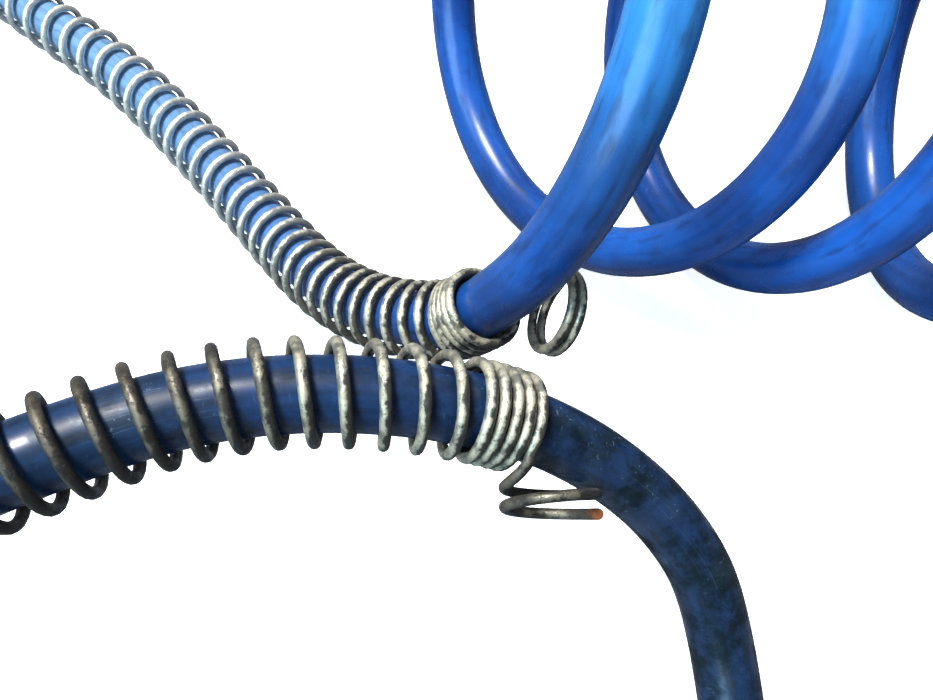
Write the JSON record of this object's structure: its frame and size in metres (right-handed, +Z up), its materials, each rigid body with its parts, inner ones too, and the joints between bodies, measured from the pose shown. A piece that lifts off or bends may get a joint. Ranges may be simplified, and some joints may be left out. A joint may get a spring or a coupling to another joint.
{
  "type": "coiled air hose",
  "caption": "Self-coiling nylon air hose with a straight lead at each end, open-wound spring guards with end eyes, and brass compression fittings with male pipe threads.",
  "frame": {"origin": "on the bench, under the middle of the outline of the hose as it lies", "axes": "+Z up, +X along the coil from the leads towards the coil's far end"},
  "size_m": [0.6262, 0.3694, 0.128],
  "materials": {
    "hose_nylon": "gloss, scuffed and dusty",
    "spring_wire": "weathered galvanised wire",
    "brass_fitting": "machined, lightly tarnished",
    "brass_insert": "machined",
    "washer": "plain",
    "retaining_ring": "spring steel",
    "o_ring_rubber": "satin"
  },
  "bodies": {
    "root": {"hose_lead_a": "hose_nylon", "hose_coil": "hose_nylon", "spring_guard_a": "spring_wire", "rigid_body": "brass_fitting", "rigid_insert": "brass_insert", "rigid_ferrule": "brass_insert", "rigid_nut": "brass_fitting"},
    "free_end": {"hose_lead_b": "hose_nylon", "spring_guard_b": "spring_wire", "swivel_body": "brass_fitting", "swivel_insert": "brass_insert", "swivel_ferrule": "brass_insert", "swivel_nut": "brass_fitting", "swivel_washer": "washer", "swivel_retaining_ring": "retaining_ring", "swivel_o_rings": "o_ring_rubber"},
    "swivel": {"swivel_adapter": "brass_fitting"}
  },
  "joints": [
    {"name": "coil_extension", "type": "slide", "parent": "root", "child": "free_end", "axis": [1, 0, 0], "range_m": [0, 0.9], "stiffness_N_per_m": 60, "deforming": ["hose_coil"]},
    {"name": "swivel_turn", "type": "hinge", "parent": "free_end", "child": "swivel", "pos_m": [-0.27889, -0.15663, 0.0127], "axis": [-0.9721, -0.2346, 0], "continuous": true}
  ]
}
